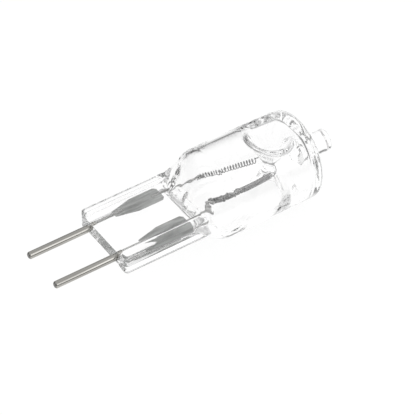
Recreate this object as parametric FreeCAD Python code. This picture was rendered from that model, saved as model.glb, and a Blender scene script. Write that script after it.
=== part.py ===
import FreeCAD, Part
import math
import os

# A capsule halogen lamp with two straight pins, lying on its side.
# The X axis is the lamp's own axis: the pins point to -X, the exhaust tip to +X.
# The two pins lie side by side along Y, and Z is square to the flat seal.
# The origin is the middle of the seal's end face, between the pins.

V = FreeCAD.Vector
AXIS_X = V(1, 0, 0)
AXIS_Z = V(0, 0, 1)
ORIGIN = V(0, 0, 0)

# Driving dimensions in millimetres

# Contact pins
pin_spacing = 6.35
pin_d = 1.0
pin_length = 9.2
pin_in_seal = 0.9
pin_neck_d = 0.66
pin_neck_out = 0.08
pin_tip_chamfer = 0.15

# Seal, pinched flat between two jaws
seal_length = 12.5
seal_width = 10.8
seal_height = 3.4
seal_squareness = 1.2
seal_end_radius = 0.5
web_height = 1.9
rib_width = 1.1
rib_slope = 0.7
pocket_end_radius = 1.2

# Bulb
bulb_d = 12.7
shoulder_length = 4.1
bulb_end_x = 30.9
bulb_end_radius = 1.3
side_wall = 0.55
gathered_wall = 1.0
gather_start_x = 23.8
gather_length = 1.9
end_wall = 1.15
cavity_end_radius = 1.0
cavity_bottom_x = 12.3
cavity_bottom_width = 7.4
cavity_bottom_height = 0.9

# Two dimples pressed in from above and below, which meet in a glass pillar
dimple_x = 26.2
pillar_d = 2.15
pillar_waist_radius = 2.5
dimple_flare = 0.55
pocket_flare = 0.6
pocket_nose_radius = 0.9
pillar_solid_height = 3.4

# Exhaust tip
tip_d = 3.1
tip_length = 4.45
tip_root_radius = 0.4
tip_end_radius = 0.35
bore_mouth_d = 2.3
bore_end_d = 0.9
bore_length = 2.6

# Current path inside the seal
outer_lead_d = 0.5
inner_lead_d = 0.36
foil_start_x = 3.7
foil_length = 7.2
foil_width = 2.6
foil_tip_width = 1.1
foil_taper_length = 3.2
foil_thickness = 0.05
foil_end_cut = 0.4
weld_lap = 1.3

# Filament, a long coil folded into a U round the pillar
coil_d = 0.80
coil_wire = 0.17
coil_pitch = 0.42
coil_facets = 6
leg_base_y = 2.45
leg_base_z = 0.85
leg_base_x_left = 16.4
leg_base_x_right = 15.1
leg_tip_before_pillar = 1.2
leg_tip_y = 1.75
spud_length = 1.1
lead_straight_x = 14.3
lead_bend_gap = 0.4
loop_clearance = 0.08
loop_facets = 12

# Worked out from the driving dimensions

bulb_r = bulb_d / 2
shoulder_end_x = seal_length + shoulder_length
pin_y = pin_spacing / 2
tip_end_x = bulb_end_x + tip_length
leg_tip_x = dimple_x - leg_tip_before_pillar
foil_end_x = foil_start_x + foil_length
ROUND = 4 / 3 * (math.sqrt(2) - 1)
MITRED = 1
END_STEPS = 4
CORNER_STEPS = 3
BLEND_STEPS = 7
SIDES = {"left": 1, "right": -1}


def revolve_x(edges):
    """Turn a closed half outline in the XY plane once about the X axis."""
    face = Part.Face(Part.Wire(edges))
    return face.revolve(ORIGIN, AXIS_X, 360)


def polyline(points):
    """Straight edges through the points, in order."""
    return [Part.makeLine(a, b) for a, b in zip(points, points[1:])]


def quarter_arc(start, corner, end):
    """The round arc that replaces a square corner with equal sides."""
    centre = start + end - corner
    return Part.Arc(start, centre + (corner - centre) * math.sqrt(0.5), end).toShape()


def turned_corner(start, corner, end):
    """Points along the round of a square corner, for a revolved outline."""
    centre = start + end - corner
    points = []
    for step in range(CORNER_STEPS + 1):
        angle = math.pi / 2 * step / CORNER_STEPS
        points.append(centre + (start - centre) * math.cos(angle) + (end - centre) * math.sin(angle))
    return points


def oval_section(x, half_width, half_height, squareness):
    """A closed section square to X made of four cubic arcs.

    A squareness of ROUND is an ellipse, and 1 is nearly a rectangle.
    """
    ends = [V(x, half_width, 0), V(x, 0, half_height), V(x, -half_width, 0), V(x, 0, -half_height)]
    edges = []
    for start, end in zip(ends, ends[1:] + ends[:1]):
        corner = V(x, start.y + end.y, start.z + end.z)
        toward_corner = (corner - start) * squareness
        from_corner = (corner - end) * squareness
        curve = Part.BezierCurve()
        curve.setPoles([start, start + toward_corner, end + from_corner, end])
        edges.append(curve.toShape())
    return Part.Wire(edges)


def round_section(x, r):
    """A circle square to X in four quarters that match an oval section's."""
    ends = [V(x, r, 0), V(x, 0, r), V(x, -r, 0), V(x, 0, -r)]
    edges = []
    for start, end in zip(ends, ends[1:] + ends[:1]):
        edges.append(quarter_arc(start, V(x, start.y + end.y, start.z + end.z), end))
    return Part.Wire(edges)


def bar(section, length):
    """A straight bar of one section, running towards +X."""
    return Part.Face(section).extrude(V(length, 0, 0))


def loft(sections):
    """A solid through the sections, which start at the rounder end."""
    return Part.makeLoft(sections, True, True)


def rounded_end(x, direction, section_at, radius):
    """Round off a bar's end at x: section_at(x, inset) gives each slice.

    direction is 1 where the bar ends towards +X and -1 where it starts.
    """
    slices = []
    for step in range(END_STEPS + 1):
        angle = math.pi / 2 * step / END_STEPS
        inset = radius * (1 - math.cos(angle))
        slices.append(section_at(x - direction * radius * (1 - math.sin(angle)), inset))
    return loft(slices)


def s_curve(share):
    """Rise from 0 to 1, steep at first and level at both ends."""
    return (1 - math.cos(math.pi * share ** 0.7)) / 2


def shoulder_section(share):
    """The outside of the shoulder, from the seal (0) to the round bulb (1)."""
    rise = s_curve(share)
    ease = share * share * (3 - 2 * share)
    half_height = seal_height / 2 + (bulb_r - seal_height / 2) * rise
    half_width = seal_width / 2 + (bulb_r - seal_width / 2) * ease
    squareness = ROUND + (seal_squareness - ROUND) * (1 - share) ** 3
    return oval_section(seal_length + shoulder_length * share, half_width, half_height, squareness)


def seal_body():
    """The flat seal: an oval bar with its end edge rounded."""
    def slice_at(x, inset):
        return oval_section(x, seal_width / 2 - inset, seal_height / 2 - inset, seal_squareness)
    straight = bar(slice_at(seal_end_radius, 0), seal_length - seal_end_radius)
    return straight.fuse(rounded_end(0, -1, slice_at, seal_end_radius))


def web_pocket():
    """The jaw mark above the web, which leaves a rib along each side."""
    floor_z = web_height / 2
    floor_y = seal_width / 2 - rib_width - rib_slope
    rib_top = seal_height / 2
    draft = rib_slope / (rib_top - floor_z)
    top_z = bulb_r
    top_y = floor_y + draft * (top_z - floor_z)
    outline = [V(-1, -floor_y, floor_z), V(-1, floor_y, floor_z), V(-1, top_y, top_z), V(-1, -top_y, top_z)]
    prism = Part.Face(Part.Wire(polyline(outline + outline[:1]))).extrude(V(seal_length + 1, 0, 0))
    side = pocket_side_outline(floor_z, top_z)
    return prism.common(side)


def pocket_side_outline(floor_z, top_z):
    """The jaw's rounded nose seen from the side, as wide as the lamp."""
    nose = pocket_end_radius
    points = [V(seal_length, -bulb_d, top_z), V(-1, -bulb_d, top_z), V(-1, -bulb_d, floor_z),
              V(seal_length - nose, -bulb_d, floor_z)]
    nose_end = V(seal_length, -bulb_d, floor_z + nose)
    edges = polyline(points)
    edges.append(quarter_arc(points[-1], V(seal_length, -bulb_d, floor_z), nose_end))
    edges.append(Part.makeLine(nose_end, points[0]))
    return Part.Face(Part.Wire(edges)).extrude(V(0, 2 * bulb_d, 0))


def shoulder_body():
    """The blend from the flat seal to the round bulb."""
    sections = [round_section(shoulder_end_x, bulb_r)]
    sections += [shoulder_section(1 - step / BLEND_STEPS) for step in range(1, BLEND_STEPS + 1)]
    return loft(sections)


def bulb_body():
    """The round bulb with its flat end."""
    corner = bulb_end_radius
    points = [V(shoulder_end_x, 0, 0), V(shoulder_end_x, bulb_r, 0)]
    points += turned_corner(V(bulb_end_x - corner, bulb_r, 0), V(bulb_end_x, bulb_r, 0),
                            V(bulb_end_x, bulb_r - corner, 0))
    points += [V(bulb_end_x, 0, 0), points[0]]
    return revolve_x(polyline(points))


def exhaust_tip():
    """The sealed stub of the exhaust tube, with a flared root."""
    tip_r = tip_d / 2
    root = tip_root_radius
    corner = tip_end_radius
    x = bulb_end_x
    points = [V(x - end_wall / 2, 0, 0), V(x - end_wall / 2, tip_r + root, 0)]
    points += turned_corner(V(x, tip_r + root, 0), V(x, tip_r, 0), V(x + root, tip_r, 0))
    points += turned_corner(V(tip_end_x - corner, tip_r, 0), V(tip_end_x, tip_r, 0),
                            V(tip_end_x, tip_r - corner, 0))
    points += [V(tip_end_x, 0, 0), points[0]]
    return revolve_x(polyline(points))


def cavity_shoulder():
    """The hollow behind the shoulder, closing down towards the seal."""
    inner_r = bulb_r - side_wall
    low_y = cavity_bottom_width / 2
    low_z = cavity_bottom_height / 2
    length = shoulder_end_x - cavity_bottom_x
    sections = [round_section(shoulder_end_x, inner_r)]
    for step in range(1, BLEND_STEPS + 1):
        share = 1 - step / BLEND_STEPS
        half_width = low_y + (inner_r - low_y) * s_curve(share)
        half_height = low_z + (inner_r - low_z) * s_curve(share)
        sections.append(oval_section(cavity_bottom_x + length * share, half_width, half_height, ROUND))
    return loft(sections)


def cavity_round():
    """The round part of the hollow, narrower where the glass gathered."""
    thin_r = bulb_r - side_wall
    thick_r = bulb_r - gathered_wall
    corner = cavity_end_radius
    end = bulb_end_x - end_wall
    points = [V(shoulder_end_x, 0, 0), V(shoulder_end_x, thin_r, 0), V(gather_start_x, thin_r, 0),
              V(gather_start_x + gather_length, thick_r, 0)]
    points += turned_corner(V(end - corner, thick_r, 0), V(end, thick_r, 0), V(end, thick_r - corner, 0))
    points += [V(end, 0, 0), points[0]]
    return revolve_x(polyline(points))


def tip_bore():
    """What is left of the exhaust tube's bore, tapering shut."""
    start = V(bulb_end_x - end_wall - cavity_end_radius, 0, 0)
    length = bore_length + cavity_end_radius
    return Part.makeCone(bore_mouth_d / 2, bore_end_d / 2, length, start, AXIS_X)


def flared_body(outline):
    """Turn a closed half outline once about the pillar's upright axis."""
    return Part.Face(Part.Wire(outline)).revolve(V(dimple_x, 0, 0), AXIS_Z, 360)


def dimple_body():
    """The waisted glass inside the hollow, flaring out to both walls."""
    flare = math.atan(dimple_flare)
    bend = pillar_waist_radius
    rise = bend * math.sin(flare)
    waist_x = dimple_x + pillar_d / 2
    bend_end_x = waist_x + bend * (1 - math.cos(flare))
    rim_x = bend_end_x + (bulb_r - rise) * dimple_flare
    arc = Part.Arc(V(bend_end_x, 0, rise), V(waist_x, 0, 0), V(bend_end_x, 0, -rise)).toShape()
    top = polyline([V(dimple_x, 0, bulb_r), V(rim_x, 0, bulb_r), V(bend_end_x, 0, rise)])
    bottom = polyline([V(bend_end_x, 0, -rise), V(rim_x, 0, -bulb_r), V(dimple_x, 0, -bulb_r),
                       V(dimple_x, 0, bulb_r)])
    return flared_body(top + [arc] + bottom)


def dimple_pocket():
    """The dent pressed into the top of the bulb by a cone with a round nose."""
    flare = math.atan(pocket_flare)
    nose = pocket_nose_radius
    foot_z = pillar_solid_height / 2
    centre_z = foot_z + nose
    nose_end = V(dimple_x + nose * math.cos(flare), 0, centre_z - nose * math.sin(flare))
    half_flare = (math.pi / 2 + flare) / 2
    middle = V(dimple_x + nose * math.cos(half_flare), 0, centre_z - nose * math.sin(half_flare))
    top_z = 2 * bulb_r
    top_x = nose_end.x + (top_z - nose_end.z) * pocket_flare
    foot = V(dimple_x, 0, foot_z)
    arc = Part.Arc(foot, middle, nose_end).toShape()
    return flared_body([arc] + polyline([nose_end, V(top_x, 0, top_z), V(dimple_x, 0, top_z), foot]))


def contact_pin(side):
    """A straight round pin with a chamfered tip and a neck held in the seal."""
    y = side * pin_y
    rod = Part.makeCylinder(pin_d / 2, pin_length - pin_neck_out, V(-pin_length, y, 0), AXIS_X)
    tip_edges = [e for e in rod.Edges if e.BoundBox.XMax < -pin_length + 1e-6]
    neck = Part.makeCylinder(pin_neck_d / 2, pin_neck_out + pin_in_seal, V(-pin_neck_out, y, 0), AXIS_X)
    return rod.makeChamfer(pin_tip_chamfer, tip_edges).fuse(neck)


def foil(side):
    """A thin strip, narrower where the outer lead is welded on."""
    y = side * pin_y
    tip = foil_tip_width / 2
    wide = foil_width / 2
    taper_end = foil_start_x + foil_taper_length
    half = [V(foil_start_x, tip, 0), V(taper_end, wide, 0), V(foil_end_x - foil_end_cut, wide, 0),
            V(foil_end_x, wide - foil_end_cut, 0)]
    points = half + [V(p.x, -p.y, 0) for p in reversed(half)]
    face = Part.Face(Part.Wire(polyline(points + points[:1])))
    face.translate(V(0, y, -foil_thickness / 2))
    return face.extrude(V(0, 0, foil_thickness))


def flat_under(lead, start_x, end_x, side, wire_d):
    """Flatten the stretch of a lead that is welded on to the foil's face."""
    corner = V(start_x, side * pin_y - wire_d, foil_thickness / 2 - wire_d)
    return lead.cut(Part.makeBox(end_x - start_x, 2 * wire_d, wire_d, corner))


def outer_lead(side):
    """The wire from a pin's inner end to its foil."""
    length = foil_start_x + weld_lap - pin_in_seal
    wire = Part.makeCylinder(outer_lead_d / 2, length, V(pin_in_seal, side * pin_y, 0), AXIS_X)
    return flat_under(wire, foil_start_x, foil_start_x + weld_lap, side, outer_lead_d)


def leg_line(side):
    """Where the centre line of one filament leg starts and ends."""
    base_x = leg_base_x_left if side > 0 else leg_base_x_right
    return V(base_x, side * leg_base_y, leg_base_z), V(leg_tip_x, side * leg_tip_y, 0)


def inner_lead(side):
    """The wire from the foil through the glass, its end inside the coil."""
    base, tip = leg_line(side)
    along = (tip - base).normalize()
    start = V(foil_end_x - weld_lap, side * pin_y, 0)
    bend = V(lead_straight_x, side * pin_y, 0)
    below_coil = base - along * lead_bend_gap
    path = Part.makePolygon([start, bend, below_coil, base + along * spud_length])
    disc = Part.Wire([Part.makeCircle(inner_lead_d / 2, start, AXIS_X)])
    wire = path.makePipeShell([disc], True, False, MITRED)
    return flat_under(wire, foil_end_x - weld_lap, foil_end_x, side, inner_lead_d)


def coil_stations(side):
    """Points on the wire of one leg, from its base to its tip."""
    base, tip = leg_line(side)
    along = (tip - base).normalize()
    across = V(0, 0, 1).cross(along).normalize()
    up = along.cross(across)
    length = (tip - base).Length
    coil_r = (coil_d - coil_wire) / 2
    turns = length / coil_pitch
    count = int(round(turns * coil_facets))
    stations = []
    for i in range(count + 1):
        share = i / count
        angle = 2 * math.pi * turns * (1 - share)
        radial = across * (side * math.cos(angle)) + up * math.sin(angle)
        stations.append((base + along * (length * share) + radial * coil_r, radial))
    return stations


def loop_stations(start, end):
    """Points on the plain wire that passes round the far side of the pillar."""
    far_x = dimple_x + pillar_d / 2 + loop_clearance + coil_wire / 2
    reach_x = far_x - start.x
    stations = []
    for i in range(1, loop_facets):
        angle = math.pi * i / loop_facets
        y = start.y * math.cos(angle)
        x = start.x + reach_x * math.sin(angle)
        outward = V(math.sin(angle), math.cos(angle) * (1 if start.y > 0 else -1), 0)
        stations.append((V(x, y, 0), outward))
    return stations


def wire_solid(stations):
    """A square wire through the stations, skinned with flat triangles."""
    half = coil_wire / 2
    rings = []
    for i, (point, radial) in enumerate(stations):
        before = stations[max(i - 1, 0)][0]
        after = stations[min(i + 1, len(stations) - 1)][0]
        ahead = (after - before).normalize()
        outward = (radial - ahead * radial.dot(ahead)).normalize()
        sideways = ahead.cross(outward)
        corners = [(1, 1), (-1, 1), (-1, -1), (1, -1)]
        rings.append([point + outward * (half * a) + sideways * (half * b) for a, b in corners])
    faces = []
    for ring, following in zip(rings, rings[1:]):
        for k in range(4):
            a, b = ring[k], ring[(k + 1) % 4]
            c, d = following[(k + 1) % 4], following[k]
            faces.append(Part.Face(Part.makePolygon([a, b, c, a])))
            faces.append(Part.Face(Part.makePolygon([a, c, d, a])))
    for ring in (rings[0], rings[-1]):
        faces.append(Part.Face(Part.makePolygon([ring[0], ring[1], ring[2], ring[0]])))
        faces.append(Part.Face(Part.makePolygon([ring[0], ring[2], ring[3], ring[0]])))
    shell = Part.Shell(faces)
    solid = Part.Solid(shell)
    if solid.Volume < 0:
        solid.reverse()
    return solid


def filament():
    """One wire: a coiled leg, the loop round the pillar, the other leg."""
    left = coil_stations(1)
    right = coil_stations(-1)
    loop = loop_stations(left[-1][0], right[-1][0])
    return wire_solid(left + loop + right[::-1])


def glass_envelope(metal):
    """The fused quartz body with its hollow, dimples and tight metal ways."""
    outside = seal_body().fuse([shoulder_body(), bulb_body(), exhaust_tip()])
    pocket = web_pocket()
    dent = dimple_pocket()
    outside = outside.cut([pocket, pocket.mirror(ORIGIN, AXIS_Z), dent, dent.mirror(ORIGIN, AXIS_Z)])
    hollow = cavity_shoulder().fuse([cavity_round(), tip_bore()]).cut(dimple_body())
    return outside.cut([hollow] + metal)


def write(name, shape):
    """Write one node, and say what went into the file."""
    solids = shape.Solids
    shape = solids[0] if len(solids) == 1 else Part.makeCompound(solids)
    shape.exportStep("parts/" + name + ".step")
    print(name, "solids", len(solids), "volume", round(shape.Volume, 3), "valid", shape.isValid())


def main():
    os.makedirs("parts", exist_ok=True)
    metal = {}
    for word, side in SIDES.items():
        metal["contact_pin_" + word] = contact_pin(side)
        metal["outer_lead_" + word] = outer_lead(side)
        metal["foil_" + word] = foil(side)
        metal["inner_lead_" + word] = inner_lead(side)
    write("glass_envelope", glass_envelope(list(metal.values())))
    for name, shape in metal.items():
        write(name, shape)
    write("filament", filament())


main()
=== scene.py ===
import math

import bmesh
import bpy
import numpy as np
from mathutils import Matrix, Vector


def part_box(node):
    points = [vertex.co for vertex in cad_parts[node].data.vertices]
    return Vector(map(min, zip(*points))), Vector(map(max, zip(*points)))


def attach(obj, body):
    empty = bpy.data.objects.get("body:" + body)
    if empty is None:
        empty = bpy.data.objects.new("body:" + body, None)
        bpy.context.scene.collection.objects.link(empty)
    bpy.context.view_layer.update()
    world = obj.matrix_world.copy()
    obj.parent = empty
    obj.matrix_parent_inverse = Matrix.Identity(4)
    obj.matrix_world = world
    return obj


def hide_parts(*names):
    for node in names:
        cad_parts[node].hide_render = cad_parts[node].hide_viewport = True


# A clear capsule halogen lamp with two pins, lying on a white table.
# Lengths are in millimetres until a mesh is made, where MM turns them to metres.
# X runs along the lamp from the pins to the exhaust tip, and Z is up.

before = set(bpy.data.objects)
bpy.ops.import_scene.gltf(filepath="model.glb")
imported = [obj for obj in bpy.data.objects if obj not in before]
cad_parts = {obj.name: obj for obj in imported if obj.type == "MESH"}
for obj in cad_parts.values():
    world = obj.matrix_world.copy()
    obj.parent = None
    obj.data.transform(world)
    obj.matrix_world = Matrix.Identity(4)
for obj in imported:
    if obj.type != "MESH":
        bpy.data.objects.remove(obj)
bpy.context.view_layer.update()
MM = 0.001
TAU = 2 * math.pi


def node_box(name):
    """Lowest and highest corner of a node of the frame, in millimetres."""
    low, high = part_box(name)
    return np.array(low) / MM, np.array(high) / MM


# Sizes read from the frame

glass_low, glass_high = node_box("glass_envelope")
bulb_r = glass_high[1]
tip_end_x = glass_high[0]
pin_end_x = node_box("contact_pin_left")[0][0]

# The glass, with the sizes that its solid has

seal_length = 12.5
seal_half_width = 5.4
seal_half_height = 1.7
seal_squareness = 1.2
seal_end_radius = 0.5
web_half_height = 0.95
jaw_nose_radius = 1.2
shoulder_length = 4.1
shoulder_power = 0.7
bulb_end_x = 30.9
bulb_end_radius = 1.3
thin_wall = 0.55
thick_wall = 1.0
end_wall = 1.15
cavity_bottom_x = 12.3
cavity_bottom_half_width = 3.7
cavity_bottom_half_height = 0.45
cavity_end_radius = 1.0
dimple_x = 26.2
pillar_r = 1.075
pillar_waist_radius = 2.5
inner_flare = 0.55
outer_flare = 0.6
dimple_nose_radius = 0.9
dimple_foot_z = 1.7
tip_r = 1.55
tip_root_radius = 0.4
tip_end_radius = 0.35
bore_mouth_r = 0.96
bore_mouth_radius = 0.3
bore_end_r = 0.45
bore_length = 2.6

# What the scene adds to the solid's form: the ribs' inner walls stand upright at
# the ribs' top edges, the hollow's bottom is wavy, the bulb's wall thickens more
# slowly towards the dimples, and pressed forms meet softly. Waves are given in
# radians per millimetre.

web_half_width = 4.26
rib_wall_run = 0.04
jaw_exit_slope = 4.0
wave_height = 0.35
wave_power = 7
broad_wave = 1.9
broad_wave_start = 0.6
fine_wave = 4.6
fine_wave_share = 0.5
gather_start_x = 23.0
gather_length = 3.0
jaw_softness = 0.08
dimple_softness = 2.4
pillar_softness = 0.9

# How finely the outside is divided: the points on a quarter of a cross-section,
# with more of them beside the foot of the rib's wall, then the millimetres
# between sections, or their number. The bulb's stand closer from dimple_reach
# before the dimple.

quarter_points = 52
wall_offsets = (-0.04, -0.02, 0, 0.02, 0.04, 0.06, 0.09)
seal_face_rings = 8
seal_edge_rings = 6
seal_spacing = 0.35
jaw_nose_spacing = 0.07
shoulder_rings = 56
bulb_spacing = 0.4
dimple_spacing = 0.12
dimple_reach = 4.7
bulb_edge_rings = 14
tip_spacing = 0.25
tip_edge_rings = 7
tip_face_rings = 6

# The same for the hollow

half_points = 90
bottom_rings = 5
opening_rings = 40
gather_rings = 14
pillar_front_rings = 25
pillar_side_rings = 36
pillar_back_rings = 12
hollow_edge_rings = 12
hollow_end_spacing = 0.2
bore_rings = 12
bore_end_rings = 5

# The filament, left leg 1 and right leg -1

coil_r = 0.33
coil_pitch = {1: 0.42, -1: 0.2}
leg_base = {1: (16.4, 2.45, 0.85), -1: (15.1, -2.45, 0.85)}
leg_tip = {1: (25.0, 1.75, 0.0), -1: (25.0, -1.75, 0.0)}
leg_sag = {1: 0.0, -1: 0.3}
loop_far_x = 27.44
wire_r = 0.07
wire_sides = 8
points_per_turn = 20
loop_points = 40

# Points closer than merging_distance, in metres, are one point, and no_width
# stands for a width of nothing where a number is divided by it. ROUND is the
# squareness at which a quarter is a quarter circle.

merging_distance = 1e-7
no_width = 1e-9
shoulder_end_x = seal_length + shoulder_length
ROUND = 4 / 3 * (math.sqrt(2) - 1)


def soft_min(a, b, reach):
    """The lower of two heights, rounded where they are closer than reach."""
    share = np.clip(0.5 + 0.5 * (b - a) / reach, 0, 1)
    return b + (a - b) * share - reach * share * (1 - share)


def soft_max(a, b, reach):
    """The higher of two heights, rounded where they are closer than reach."""
    return -soft_min(-a, -b, reach)


def shares(count):
    """Evenly spaced values from 0 up to, but not with, 1."""
    return np.arange(count) / count


def steps(start, end, spacing):
    """Evenly spaced values from start up to, but not with, end."""
    count = max(int(round(abs(end - start) / spacing)), 1)
    return start + (end - start) * np.arange(count) / count


def quarter_turn(count):
    """Angles from 0 up to, but not with, a quarter turn."""
    return shares(count) * math.pi / 2


def s_curve(share):
    """Rise from 0 to 1, steeper at first: half a cosine of the share's power."""
    return (1 - np.cos(math.pi * share ** shoulder_power)) / 2


def rows(x, half_width, half_height, squareness):
    """Cross-sections as one table: place, half width, half height, squareness."""
    columns = np.broadcast_arrays(x, half_width, half_height, squareness)
    return np.stack([np.asarray(c, float).ravel() for c in columns], axis=1)


def round_rows(x, r):
    """Round cross-sections of the given radii."""
    return rows(x, r, r, ROUND)


def edge_rows(x, r, radius, count):
    """The arc of an outer edge, from the side of radius r to the face at x."""
    turn = quarter_turn(count)
    return round_rows(x - radius * (1 - np.sin(turn)), r - radius * (1 - np.cos(turn)))


def root_rows(x, r, radius, count):
    """The arc of an inner edge, from the face at x to the neck of radius r."""
    turn = quarter_turn(count)
    return round_rows(x + radius * (1 - np.cos(turn)), r + radius * (1 - np.sin(turn)))


def arc_part(u, q):
    """How far a cubic arc still reaches along its first half axis."""
    return (1 - u) ** 3 + 3 * (1 - u) ** 2 * u + 3 * (1 - u) * u ** 2 * q


def arc_places():
    """Places along a quarter arc: even ones, and close ones at the rib's wall.

    The rib's wall is looked up in a table of how far the arc reaches sideways.
    """
    table = np.linspace(1, 0.4, 601)
    reach = arc_part(table, seal_squareness) * seal_half_width
    wall = np.interp(web_half_width + np.array(wall_offsets), reach, table)
    return np.unique(np.round(np.concatenate([shares(quarter_points), wall]), 5))


def contour(section_rows, places):
    """Points round every cross-section, as arrays of sections by points.

    Each quarter is a cubic arc between the ends of the half width and the half
    height, drawn towards their corner by the squareness.
    """
    back = np.concatenate([[1.0], places[:0:-1]])
    u = np.concatenate([places, back, places, back])
    quarter = np.repeat(np.arange(4), len(places))
    q = section_rows[:, 3:4]
    y_sign = np.where((quarter == 0) | (quarter == 3), 1, -1)
    z_sign = np.where(quarter < 2, 1, -1)
    x = np.repeat(section_rows[:, :1], len(u), axis=1)
    y = section_rows[:, 1:2] * arc_part(u, q) * y_sign
    z = section_rows[:, 2:3] * arc_part(1 - u, q) * z_sign
    return x, y, z


def jaw_mark_height(x, y):
    """Height of the pinching jaw's face: flat, rising at its sides and nose.

    The sides rise in a straight line to the rib's top. The nose is a quarter
    circle that goes on as a steep straight line.
    """
    rise_per_mm = (seal_half_height - web_half_height) / rib_wall_run
    side = web_half_height + (np.abs(y) - web_half_width) * rise_per_mm
    run = x - (seal_length - jaw_nose_radius)
    inside = np.sqrt(np.clip(jaw_nose_radius ** 2 - np.clip(run, 0, None) ** 2, 0, None))
    past = jaw_exit_slope * np.clip(run - jaw_nose_radius, 0, None)
    nose = web_half_height + jaw_nose_radius - inside + past
    face = soft_max(side, web_half_height, jaw_softness)
    return soft_max(face, nose, jaw_softness)


def dimple_height(x, y):
    """Height of the pressed dimple: a cone with a round nose, by distance."""
    flare = math.atan(outer_flare)
    distance = np.hypot(x - dimple_x, y)
    nose = dimple_nose_radius
    edge_r = nose * math.cos(flare)
    edge_z = dimple_foot_z + nose * (1 - math.sin(flare))
    ball = dimple_foot_z + nose - np.sqrt(nose ** 2 - np.clip(distance, 0, edge_r) ** 2)
    return np.where(distance < edge_r, ball, edge_z + (distance - edge_r) / outer_flare)


def pillar_height(x, y):
    """Height of the hollow beside the pillar: an arc, then a straight flare."""
    flare = math.atan(inner_flare)
    bend = pillar_waist_radius
    out = np.clip(np.hypot(x - dimple_x, y) - pillar_r, 0, None)
    edge_out = bend * (1 - math.cos(flare))
    arc = np.sqrt(np.clip(bend ** 2 - (bend - np.clip(out, 0, edge_out)) ** 2, 0, None))
    straight = bend * math.sin(flare) + (out - edge_out) / inner_flare
    return np.where(out < edge_out, arc, straight)


def bottom_wave(x, y):
    """Shift along X of the hollow's bottom: two sines of y, by a power of depth."""
    share = np.clip((shoulder_end_x - x) / (shoulder_end_x - cavity_bottom_x), 0, 1)
    wave = np.sin(broad_wave * y + broad_wave_start) + fine_wave_share * np.sin(fine_wave * y)
    return wave_height * share ** wave_power * wave


def outside_sections():
    """Cross-sections of the outside, from the seal's end to the tip's end.

    Along the shoulder the half width rises as 3 s^2 - 2 s^3, the half height as
    the s-curve, and the squareness falls to round as (1 - s)^3.
    """
    a, b, q = seal_half_width, seal_half_height, seal_squareness
    shrink = shares(seal_face_rings)
    turn = quarter_turn(seal_edge_rings)
    inset = seal_end_radius * (1 - np.sin(turn))
    jaw_nose_x = seal_length - jaw_nose_radius
    share = shares(shoulder_rings)
    ease = share * share * (3 - 2 * share)
    bulb_edge_x = bulb_end_x - bulb_end_radius
    tip_side_x = steps(bulb_end_x + tip_root_radius, tip_end_x - tip_end_radius, tip_spacing)
    return np.concatenate([
        rows(0, shrink * (a - seal_end_radius), shrink * (b - seal_end_radius), q),
        rows(seal_end_radius * (1 - np.cos(turn)), a - inset, b - inset, q),
        rows(steps(seal_end_radius, jaw_nose_x, seal_spacing), a, b, q),
        rows(steps(jaw_nose_x, seal_length, jaw_nose_spacing), a, b, q),
        rows(seal_length + shoulder_length * share, a + (bulb_r - a) * ease,
             b + (bulb_r - b) * s_curve(share), ROUND + (q - ROUND) * (1 - share) ** 3),
        round_rows(steps(shoulder_end_x, dimple_x - dimple_reach, bulb_spacing), bulb_r),
        round_rows(steps(dimple_x - dimple_reach, bulb_edge_x, dimple_spacing), bulb_r),
        edge_rows(bulb_end_x, bulb_r, bulb_end_radius, bulb_edge_rings),
        round_rows(bulb_end_x,
                   steps(bulb_r - bulb_end_radius, tip_r + tip_root_radius, tip_spacing)),
        root_rows(bulb_end_x, tip_r, tip_root_radius, tip_edge_rings),
        round_rows(tip_side_x, tip_r),
        edge_rows(tip_end_x, tip_r, tip_end_radius, tip_edge_rings),
        round_rows(tip_end_x, np.linspace(tip_r - tip_end_radius, 0, tip_face_rings)),
    ])


def gathered_sections(thin_r, thick_r, end_x):
    """Cross-sections of the hollow from where its wall thickens up to end_x.

    They stand closer towards the pillar and turn past it by even angles. The
    radius falls from thin_r to thick_r as half a cosine.
    """
    front, back = dimple_x - pillar_r, dimple_x + pillar_r
    nearing = np.linspace(1, 0, pillar_front_rings + 1)[:-1] ** 2
    angle = np.linspace(0, math.pi, pillar_side_rings + 1)
    leaving = np.linspace(0, 1, pillar_back_rings + 1)[1:] ** 2
    x = np.unique(np.round(np.concatenate([
        gather_start_x + gather_length * shares(gather_rings),
        front - (front - gather_start_x) * nearing,
        dimple_x - pillar_r * np.cos(angle),
        back + (end_x - back) * leaving,
    ]), 6))[:-1]
    gathered = np.clip((x - gather_start_x) / gather_length, 0, 1)
    return round_rows(x, thin_r + (thick_r - thin_r) * (1 - np.cos(math.pi * gathered)) / 2)


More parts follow.
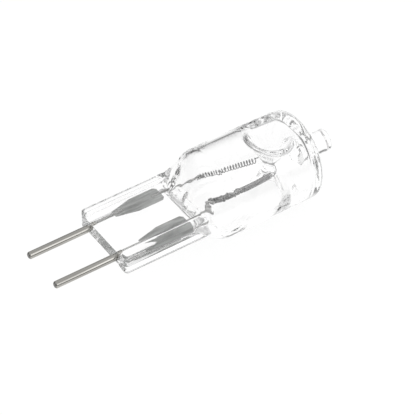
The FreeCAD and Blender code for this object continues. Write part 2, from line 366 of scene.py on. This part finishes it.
def hollow_sections():
    """Cross-sections of the hollow, from its bottom to the end of the bore."""
    thin_r, thick_r = bulb_r - thin_wall, bulb_r - thick_wall
    end = bulb_end_x - end_wall
    low_y, low_z = cavity_bottom_half_width, cavity_bottom_half_height
    shrink = shares(bottom_rings)
    along = shares(opening_rings)
    rise = s_curve(along)
    bore_x = np.linspace(end + bore_mouth_radius, end + bore_length, bore_rings)
    turn = quarter_turn(bore_end_rings)[1:]
    return np.concatenate([
        rows(cavity_bottom_x, shrink * low_y, shrink * low_z, ROUND),
        rows(cavity_bottom_x + (shoulder_end_x - cavity_bottom_x) * along,
             low_y + (thin_r - low_y) * rise, low_z + (thin_r - low_z) * rise, ROUND),
        round_rows(steps(shoulder_end_x, gather_start_x, bulb_spacing), thin_r),
        gathered_sections(thin_r, thick_r, end - cavity_end_radius),
        edge_rows(end, thick_r, cavity_end_radius, hollow_edge_rings),
        round_rows(end, steps(thick_r - cavity_end_radius, bore_mouth_r + bore_mouth_radius,
                              hollow_end_spacing)),
        root_rows(end, bore_mouth_r, bore_mouth_radius, hollow_edge_rings),
        round_rows(bore_x, np.linspace(bore_mouth_r, bore_end_r, bore_rings)),
        round_rows(end + bore_length + bore_end_r * np.sin(turn), bore_end_r * np.cos(turn)),
        round_rows(end + bore_length + bore_end_r, 0),
    ])


def grid_faces(row_count, column_count, closed):
    """Quads between the rows and columns of a grid, as corner numbers."""
    row = np.arange(row_count - 1)[:, None] * column_count
    wrap = column_count if closed else column_count - 1
    column = np.arange(wrap)[None, :]
    following = (column + 1) % column_count
    a, b = row + column, row + following
    return np.stack([a, b, b + column_count, a + column_count], axis=-1).reshape(-1, 4)


def outside_surface():
    """The outside of the glass, as points and faces.

    Each point of a cross-section keeps its place in plan, and its height is the
    least of the section's, the jaw mark's and the dimple's.
    """
    x, y, z = contour(outside_sections(), arc_places())
    height = soft_min(np.abs(z), jaw_mark_height(x, y), jaw_softness)
    height = soft_min(height, dimple_height(x, y), dimple_softness)
    points = np.stack([x, y, np.sign(z) * height], axis=-1).reshape(-1, 3)
    return points, grid_faces(len(x), x.shape[1], True)


def hollow_surface():
    """The wall of the hollow, as points and faces.

    The section's left half runs from its lowest to its highest point. Beside
    the pillar it starts and ends on the pillar's waist circle instead of on
    the axis: y becomes the root of (waist^2 + y^2 (1 - waist^2 / width^2)).
    Its height is the lesser of the section's and the pillar's. The right half
    is its mirror image, and the halves meet along the axis. The bottom's wave
    is added last.
    """
    table = hollow_sections()
    x, half_width, half_height = table[:, :1], table[:, 1:2], table[:, 2:3]
    angle = np.linspace(-math.pi / 2, math.pi / 2, half_points + 1)[None, :]
    waist = np.sqrt(np.clip(pillar_r ** 2 - (x - dimple_x) ** 2, 0, None))
    width = np.maximum(half_width, no_width)
    flat_y = half_width * np.cos(angle)
    y = np.sqrt(waist ** 2 + flat_y ** 2 * (1 - np.minimum(waist / width, 1) ** 2))
    section_z = half_height * np.sqrt(np.clip(1 - (y / width) ** 2, 0, None))
    x = np.repeat(x, half_points + 1, axis=1)
    z = np.sign(angle) * soft_min(section_z, pillar_height(x, y), pillar_softness)
    z = np.where(np.isclose(y, waist) & (waist > 0), 0, z)
    left, right = (np.stack([x + bottom_wave(x, side), side, z], axis=-1).reshape(-1, 3)
                   for side in (y, -y))
    faces = grid_faces(len(table), half_points + 1, False)
    return np.concatenate([left, right]), np.concatenate([faces[:, ::-1], faces + len(left)])


def make_piece(name, points, faces, material):
    """A smooth mesh at the origin, its doubles merged, riding the lamp's body."""
    mesh = bpy.data.meshes.new(name)
    mesh.from_pydata((points * MM).tolist(), [], faces.tolist())
    piece = bpy.data.objects.new(name, mesh)
    bpy.context.scene.collection.objects.link(piece)
    form = bmesh.new()
    form.from_mesh(mesh)
    bmesh.ops.remove_doubles(form, verts=form.verts, dist=merging_distance)
    form.to_mesh(mesh)
    form.free()
    mesh.polygons.foreach_set("use_smooth", np.full(len(mesh.polygons), True))
    mesh.materials.append(material)
    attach(piece, "root")
    return piece


def tube(centres, radius):
    """A round wire of one radius along a line of points, with flat ends.

    Each end is closed by a ring of no radius at the line's own end. The rings
    turn from one direction that the wire never follows.
    """
    ahead = np.gradient(centres, axis=0)
    ahead /= np.linalg.norm(ahead, axis=1, keepdims=True)
    side = np.cross(ahead, (0.013, 0.027, 1.0))
    side /= np.linalg.norm(side, axis=1, keepdims=True)
    rise = np.cross(side, ahead)
    angle = (np.arange(wire_sides) * TAU / wire_sides)[None, :, None]
    ring = side[:, None] * np.cos(angle) + rise[:, None] * np.sin(angle)
    first, last = (np.repeat(end[None], wire_sides, axis=1)
                   for end in (centres[:1], centres[-1:]))
    body = np.concatenate([first, centres[:, None] + radius * ring, last])
    return body.reshape(-1, 3), grid_faces(len(body), wire_sides, True)


def coil_leg(side):
    """Centre line of one coiled leg, from its base to its tip.

    The coil turns round a line between the two ends that sags as a parabola.
    """
    base, tip = np.array(leg_base[side]), np.array(leg_tip[side])
    length = np.linalg.norm(tip - base)
    turns = length / coil_pitch[side]
    share = np.linspace(0, 1, int(turns * points_per_turn))[:, None]
    along = (tip - base) / length
    across = np.cross([0, 0, 1], along)
    across /= np.linalg.norm(across)
    up = np.cross(along, across)
    middle = base + (tip - base) * share - up * leg_sag[side] * 4 * share * (1 - share)
    angle = TAU * turns * (1 - share)
    return middle + coil_r * (across * side * np.cos(angle) + up * np.sin(angle))


def pillar_loop(start, end):
    """Centre line of the plain wire from one leg's tip to the other's.

    It is half an ellipse in plan, and its height goes evenly from one to the other.
    """
    angle = np.linspace(0, math.pi, loop_points + 2)[1:-1, None]
    y = (start[1] + end[1]) / 2 + (start[1] - end[1]) / 2 * np.cos(angle)
    x = start[0] + (loop_far_x - start[0]) * np.sin(angle)
    z = start[2] + (end[2] - start[2]) * angle / math.pi
    return np.concatenate([x, y, z], axis=1)


def place_node(tree, kind, sockets=(), **settings):
    """A new node in a tree, with its unlinked sockets and its settings set."""
    node = tree.nodes.new(kind)
    for key, value in settings.items():
        setattr(node, key, value)
    for key, value in dict(sockets).items():
        node.inputs[key].default_value = value
    return node


def maths(tree, operation, first, second):
    """A Math node whose inputs are outputs of other nodes or plain numbers."""
    node = place_node(tree, "ShaderNodeMath", operation=operation)
    for socket, value in zip(node.inputs, (first, second)):
        if isinstance(value, (int, float)):
            socket.default_value = value
        else:
            tree.links.new(value, socket)
    return node.outputs[0]


def greatest(tree, first, *others):
    """The greatest of several values."""
    for other in others:
        first = maths(tree, "MAXIMUM", first, other)
    return first


def fade(tree, value, start, end, low=0.0, high=1.0):
    """Low where value is at start, high at end, smooth between and level beyond."""
    limits = {"From Min": start, "From Max": end, "To Min": low, "To Max": high}
    node = place_node(tree, "ShaderNodeMapRange", limits, interpolation_type="SMOOTHSTEP")
    tree.links.new(value, node.inputs["Value"])
    return node.outputs["Result"]


def object_place(tree):
    """A point's place on the object: the whole vector, its X and its Y."""
    place = tree.nodes.new("ShaderNodeTexCoord").outputs["Object"]
    parts = tree.nodes.new("ShaderNodeSeparateXYZ")
    tree.links.new(place, parts.inputs[0])
    return place, parts.outputs["X"], parts.outputs["Y"]


def new_material(name):
    """A new material, its tree and its Principled BSDF."""
    material = bpy.data.materials.new(name)
    material.use_nodes = True
    return material, material.node_tree, material.node_tree.nodes["Principled BSDF"]


# The grain of drawn or rolled metal: between these two values of the noise, its
# colour and its roughness go from the first factor to the second

grain_limits = (0.3, 0.7)
grain_shade = (0.82, 1.12)
grain_roughness = (1.25, 0.8)
grain_detail = 3.0
grain_depth = 0.02

# The face where a pin was cut off is darker than its side

cut_depth = 0.12
cut_shade = 0.3


def drawn_grain_group():
    """Fine lines along X on drawn or rolled metal: colour, roughness and height."""
    group = bpy.data.node_groups.new("drawn_grain", "ShaderNodeTree")
    sockets = (("INPUT", "Vector", "Vector"), ("INPUT", "Stretch", "Vector"),
               ("INPUT", "Scale", "Float"), ("INPUT", "Color", "Color"),
               ("INPUT", "Roughness", "Float"), ("OUTPUT", "Color", "Color"),
               ("OUTPUT", "Roughness", "Float"), ("OUTPUT", "Height", "Float"))
    for way, name, kind in sockets:
        group.interface.new_socket(name, in_out=way, socket_type="NodeSocket" + kind)
    given = group.nodes.new("NodeGroupInput")
    result = group.nodes.new("NodeGroupOutput")
    stretched = place_node(group, "ShaderNodeVectorMath", operation="MULTIPLY")
    group.links.new(given.outputs["Vector"], stretched.inputs[0])
    group.links.new(given.outputs["Stretch"], stretched.inputs[1])
    noise = place_node(group, "ShaderNodeTexNoise", {"Detail": grain_detail})
    group.links.new(stretched.outputs[0], noise.inputs["Vector"])
    group.links.new(given.outputs["Scale"], noise.inputs["Scale"])
    grain = noise.outputs["Fac"]
    tint = place_node(group, "ShaderNodeVectorMath", operation="SCALE")
    group.links.new(given.outputs["Color"], tint.inputs[0])
    group.links.new(fade(group, grain, *grain_limits, *grain_shade), tint.inputs["Scale"])
    rougher = maths(group, "MULTIPLY", given.outputs["Roughness"],
                    fade(group, grain, *grain_limits, *grain_roughness))
    group.links.new(tint.outputs[0], result.inputs["Color"])
    group.links.new(rougher, result.inputs["Roughness"])
    group.links.new(grain, result.inputs["Height"])
    return group


drawn_grain = drawn_grain_group()


def drawn_metal(name, colour, roughness, stretch, scale, relief, cut_end_x=-1.0):
    """Metal with the drawn grain, darker on the face where the wire was cut.

    stretch squeezes the grain's pattern on each axis, and cut_end_x is that
    face's place in metres.
    """
    material, tree, shader = new_material(name)
    shader.inputs["Metallic"].default_value = 1.0
    place, along, _ = object_place(tree)
    grain = place_node(tree, "ShaderNodeGroup", node_tree=drawn_grain)
    for key, value in (("Stretch", stretch), ("Scale", scale), ("Color", colour),
                       ("Roughness", roughness)):
        grain.inputs[key].default_value = value
    tree.links.new(place, grain.inputs["Vector"])
    tint = place_node(tree, "ShaderNodeVectorMath", operation="SCALE")
    tree.links.new(grain.outputs["Color"], tint.inputs[0])
    shade = fade(tree, along, cut_end_x, cut_end_x + cut_depth * MM, cut_shade)
    tree.links.new(shade, tint.inputs["Scale"])
    bump = place_node(tree, "ShaderNodeBump",
                      {"Strength": relief, "Distance": grain_depth * MM})
    tree.links.new(grain.outputs["Height"], bump.inputs["Height"])
    tree.links.new(tint.outputs[0], shader.inputs["Base Color"])
    tree.links.new(grain.outputs["Roughness"], shader.inputs["Roughness"])
    tree.links.new(bump.outputs["Normal"], shader.inputs["Normal"])
    return material


# The ripple on the glass, as shares of its full depth: the bulb's end, the
# shoulder and the face at the pins have all of it, the ribs rib_ripple, the
# shoulder's corners corner_ripple more, and the rest calm_ripple. The fades are
# the lengths over which it grows.

ripple_scale = 900.0
ripple_detail = 2.5
ripple_strength = 0.12
ripple_depth = 0.2
calm_ripple = 0.05
rib_ripple = 0.6
corner_ripple = 3.0
seal_end_fade = 1.5
shoulder_end_fade = 3.0
corner_start_y = 3.0
corner_full_y = 4.5
pin_face_fade = 0.8


def quartz():
    """Clear fused quartz, rippled where the flame and the jaws have worked it."""
    material, tree, shader = new_material("clear_quartz")
    for key, value in (("Base Color", (1, 1, 1, 1)), ("Roughness", 0.0), ("IOR", 1.46),
                       ("Transmission Weight", 1.0)):
        shader.inputs[key].default_value = value
    place, along, sideways = object_place(tree)
    aside = maths(tree, "ABSOLUTE", sideways, 0.0)
    at_end = fade(tree, along, gather_start_x * MM, dimple_x * MM)
    past_seal = fade(tree, along, (seal_length - seal_end_fade) * MM, seal_length * MM)
    before_bulb = fade(tree, along, (shoulder_end_x + shoulder_end_fade) * MM,
                       shoulder_end_x * MM)
    at_shoulder = maths(tree, "MULTIPLY", past_seal, before_bulb)
    on_rib = maths(tree, "MULTIPLY", before_bulb, fade(
        tree, aside, web_half_width * MM, seal_half_width * MM, 0.0, rib_ripple))
    on_corner = maths(tree, "MULTIPLY", at_shoulder, fade(
        tree, aside, corner_start_y * MM, corner_full_y * MM))
    at_pins = fade(tree, along, pin_face_fade * MM, 0.0)
    worked = maths(tree, "ADD", greatest(tree, at_end, at_shoulder, on_rib, at_pins),
                   maths(tree, "MULTIPLY", on_corner, corner_ripple))
    amount = maths(tree, "ADD", maths(tree, "MULTIPLY", worked, 1 - calm_ripple), calm_ripple)
    ripple = place_node(tree, "ShaderNodeTexNoise",
                        {"Scale": ripple_scale, "Detail": ripple_detail})
    tree.links.new(place, ripple.inputs["Vector"])
    height = maths(tree, "MULTIPLY", ripple.outputs["Fac"], amount)
    bump = place_node(tree, "ShaderNodeBump",
                      {"Strength": ripple_strength, "Distance": ripple_depth * MM})
    tree.links.new(height, bump.inputs["Height"])
    tree.links.new(bump.outputs["Normal"], shader.inputs["Normal"])
    return material


# The materials, with the grain's scale per metre

clear_quartz = quartz()
pin_metal = drawn_metal("pin_metal", colour=(0.45, 0.44, 0.415, 1), roughness=0.17,
                        stretch=(0.03, 1, 1), scale=4000.0, relief=0.2,
                        cut_end_x=pin_end_x * MM)
lead_metal = drawn_metal("lead_metal", colour=(0.8, 0.8, 0.79, 1), roughness=0.55,
                         stretch=(0.03, 1, 1), scale=5000.0, relief=0.2)
foil_metal = drawn_metal("foil_metal", colour=(0.60, 0.61, 0.60, 1), roughness=0.45,
                         stretch=(0.1, 1, 1), scale=2500.0, relief=0.2)
filament_metal = drawn_metal("filament_metal", colour=(0.55, 0.55, 0.55, 1),
                             roughness=0.45, stretch=(1, 1, 1), scale=5000.0, relief=0.1)

# The glass and the filament take the places of their solids, and the pins, the
# leads and the foils are their solids

outer_points, outer_faces = outside_surface()
inner_points, inner_faces = hollow_surface()
glass = make_piece("quartz_bulb", np.concatenate([outer_points, inner_points]),
                   np.concatenate([outer_faces, inner_faces + len(outer_points)]),
                   clear_quartz)
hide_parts("glass_envelope")

left_leg, right_leg = coil_leg(1), coil_leg(-1)
loop_line = pillar_loop(left_leg[-1], right_leg[-1])
wire_points, wire_faces = tube(np.concatenate([left_leg, loop_line, right_leg[::-1]]), wire_r)
filament_piece = make_piece("coiled_filament", wire_points, wire_faces[:, ::-1],
                            filament_metal)
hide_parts("filament")

for node_name, metal in (("contact_pin", pin_metal), ("outer_lead", lead_metal),
                         ("foil", foil_metal), ("inner_lead", lead_metal)):
    for word in ("left", "right"):
        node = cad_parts[node_name + "_" + word]
        node.data.materials.clear()
        node.data.materials.append(metal)

# The table: white to the eye and matt to the light that it gets. In metal and
# through glass it shows white under the lamp and fades to grey further off.
# table_half is in metres.

table_half = 3.0
table_grey = 0.9
lit_half = 22.0
faded_half = 75.0
lit_length_factor = 0.6
faded_level = 0.15
white_level = 1.04
picture_level = 1.06
matt_share = 0.1

table_z = glass_low[2] * MM
table_corners = ((-1, -1), (1, -1), (1, 1), (-1, 1))
table_mesh = bpy.data.meshes.new("table")
table_mesh.from_pydata([(table_half * x, table_half * y, table_z) for x, y in table_corners],
                       [], [(0, 1, 2, 3)])
table_piece = bpy.data.objects.new("table", table_mesh)
bpy.context.scene.collection.objects.link(table_piece)


def table_material():
    """A matt white table with the glow described above.

    The glow depends on the distance from the lamp's middle, shortened along X.
    """
    material = bpy.data.materials.new("white_table")
    material.use_nodes = True
    tree = material.node_tree
    tree.nodes.clear()
    surface = tree.nodes.new("ShaderNodeOutputMaterial")
    matt = place_node(tree, "ShaderNodeBsdfDiffuse",
                      {"Color": (table_grey, table_grey, table_grey, 1)})
    glow = place_node(tree, "ShaderNodeEmission", {"Color": (1, 1, 1, 1)})
    mix = tree.nodes.new("ShaderNodeMixShader")
    path = tree.nodes.new("ShaderNodeLightPath")
    camera_ray = path.outputs["Is Camera Ray"]
    _, x, y = object_place(tree)
    middle_x = (tip_end_x + pin_end_x) / 2 * MM
    along = maths(tree, "MULTIPLY", maths(tree, "SUBTRACT", x, middle_x), lit_length_factor)
    squares = maths(tree, "ADD", maths(tree, "POWER", along, 2.0),
                    maths(tree, "POWER", y, 2.0))
    distance = maths(tree, "POWER", squares, 0.5)
    seen = fade(tree, distance, lit_half * MM, faded_half * MM, white_level, faded_level)
    strength = greatest(tree, seen, maths(tree, "MULTIPLY", camera_ray, picture_level))
    share = greatest(tree, path.outputs["Is Transmission Ray"], path.outputs["Is Glossy Ray"],
                     maths(tree, "MULTIPLY", camera_ray, 1 - matt_share))
    tree.links.new(strength, glow.inputs["Strength"])
    tree.links.new(share, mix.inputs["Fac"])
    tree.links.new(matt.outputs["BSDF"], mix.inputs[1])
    tree.links.new(glow.outputs["Emission"], mix.inputs[2])
    tree.links.new(mix.outputs["Shader"], surface.inputs["Surface"])
    return material


table_mesh.materials.append(table_material())

# The room: dark at the horizon, pale above, with one broad lamp beside the
# camera. Its heights are those of a direction of length 1, and the lamp's edge
# and core are cosines of the angle to the lamp.

horizon_level = 0.2
ceiling_level = 0.78
horizon_height = 0.1
ceiling_height = 0.5
lamp_level = 1.1
lamp_edge = 0.93
lamp_core = 0.97
lamp_way = Vector((0.41, -0.74, 0.53)).normalized()


def room():
    """World light whose level depends only on the direction."""
    world = bpy.data.worlds.new("studio")
    world.use_nodes = True
    tree = world.node_tree
    backdrop = tree.nodes["Background"]
    backdrop.inputs["Color"].default_value = (1, 1, 1, 1)
    way = tree.nodes.new("ShaderNodeTexCoord").outputs["Generated"]
    parts = tree.nodes.new("ShaderNodeSeparateXYZ")
    tree.links.new(way, parts.inputs[0])
    towards = place_node(tree, "ShaderNodeVectorMath", {1: lamp_way}, operation="DOT_PRODUCT")
    tree.links.new(way, towards.inputs[0])
    ceiling = fade(tree, parts.outputs["Z"], horizon_height, ceiling_height,
                   horizon_level, ceiling_level)
    lamp = fade(tree, towards.outputs["Value"], lamp_edge, lamp_core, 0.0, lamp_level)
    path = tree.nodes.new("ShaderNodeLightPath")
    level = greatest(tree, maths(tree, "ADD", ceiling, lamp), path.outputs["Is Camera Ray"])
    tree.links.new(level, backdrop.inputs["Strength"])
    return world


bpy.context.scene.world = room()

# Enough bounces for light that is caught in the glass

bounces = 24
render_limits = bpy.context.scene.cycles
render_limits.max_bounces = bounces
render_limits.glossy_bounces = bounces
render_limits.transmission_bounces = bounces

# The camera, fitted to the photo

view_azimuth = math.radians(-34.85)
view_elevation = math.radians(43.0)
view_distance = 330.0
view_target = Vector((20, 0, 0))
aim_right = -3.11
aim_up = -3.31
focal_pixels = 2511.4
picture_pixels = 415

level_reach = math.cos(view_elevation)
back = Vector((math.sin(view_azimuth) * level_reach, -math.cos(view_azimuth) * level_reach,
               math.sin(view_elevation)))
right = Vector((0, 0, 1)).cross(back).normalized()
up = back.cross(right)
eye = view_target + back * view_distance
aim = view_target + right * aim_right + up * aim_up
camera_data = bpy.data.cameras.new("camera")
camera_data.lens = focal_pixels / picture_pixels * camera_data.sensor_width
camera_data.clip_start = 0.01
camera_data.clip_end = 10
camera = bpy.data.objects.new("camera", camera_data)
camera.location = eye * MM
camera.rotation_euler = (aim - eye).to_track_quat("-Z", "Y").to_euler()
bpy.context.scene.collection.objects.link(camera)
bpy.context.scene.camera = camera

bpy.context.scene.view_settings.view_transform = "Standard"
